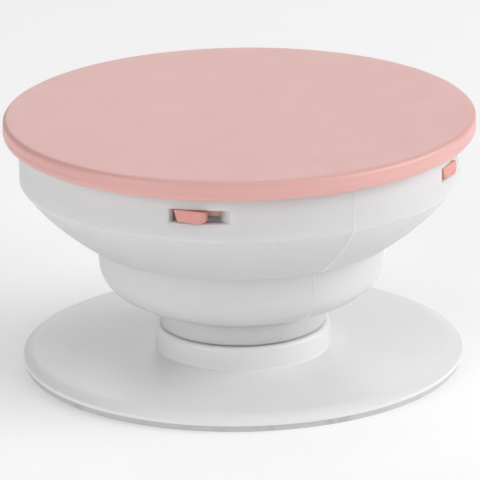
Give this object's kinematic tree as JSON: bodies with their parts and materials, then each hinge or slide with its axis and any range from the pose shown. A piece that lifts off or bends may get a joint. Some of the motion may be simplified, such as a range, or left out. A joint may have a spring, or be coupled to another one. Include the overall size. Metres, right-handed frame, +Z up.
{
  "type": "collapsible phone grip",
  "caption": "Round flat cap on a white folding collar that pulls out or presses flat, and swivels in a round stick-on platform; held between the fingers or used as a stand.",
  "frame": {"origin": "centre of the adhesive pad's underside", "axes": "+Z up through the cap, square to the surface it sticks to; the collar's mould seams lie at -Y and +Y; the grip is pulled out"},
  "size_m": [0.04, 0.04, 0.0218],
  "materials": {
    "cap_plastic": "pink moulded plastic, satin gloss",
    "collar_elastomer": "white moulded thermoplastic elastomer, satin",
    "platform_plastic": "white moulded plastic, satin gloss",
    "adhesive": "soft grey-beige foam adhesive, matt"
  },
  "bodies": {
    "base": {"base_platform": "platform_plastic", "adhesive_pad": "adhesive"},
    "neck": {"neck_ring": "collar_elastomer", "lower_fold": "collar_elastomer"},
    "middle": {"middle_ring": "collar_elastomer", "upper_fold": "collar_elastomer"},
    "top": {"top_ring": "collar_elastomer"},
    "cap": {"cap_disc": "cap_plastic"}
  },
  "joints": [
    {"name": "swivel", "type": "hinge", "parent": "base", "child": "neck", "pos_m": [0, 0, 0.0034], "axis": [0, 0, 1], "continuous": true},
    {"name": "lower_fold_slide", "type": "slide", "parent": "neck", "child": "middle", "axis": [0, 0, -1], "range_m": [0, 0.0064], "deforming": ["lower_fold"]},
    {"name": "upper_fold_slide", "type": "slide", "parent": "middle", "child": "top", "axis": [0, 0, -1], "range_m": [0, 0.0083], "deforming": ["upper_fold"]},
    {"name": "cap_twist", "type": "hinge", "parent": "top", "child": "cap", "pos_m": [0, 0, 0.0202], "axis": [0, 0, 1], "range_deg": [0, 2.8]}
  ]
}
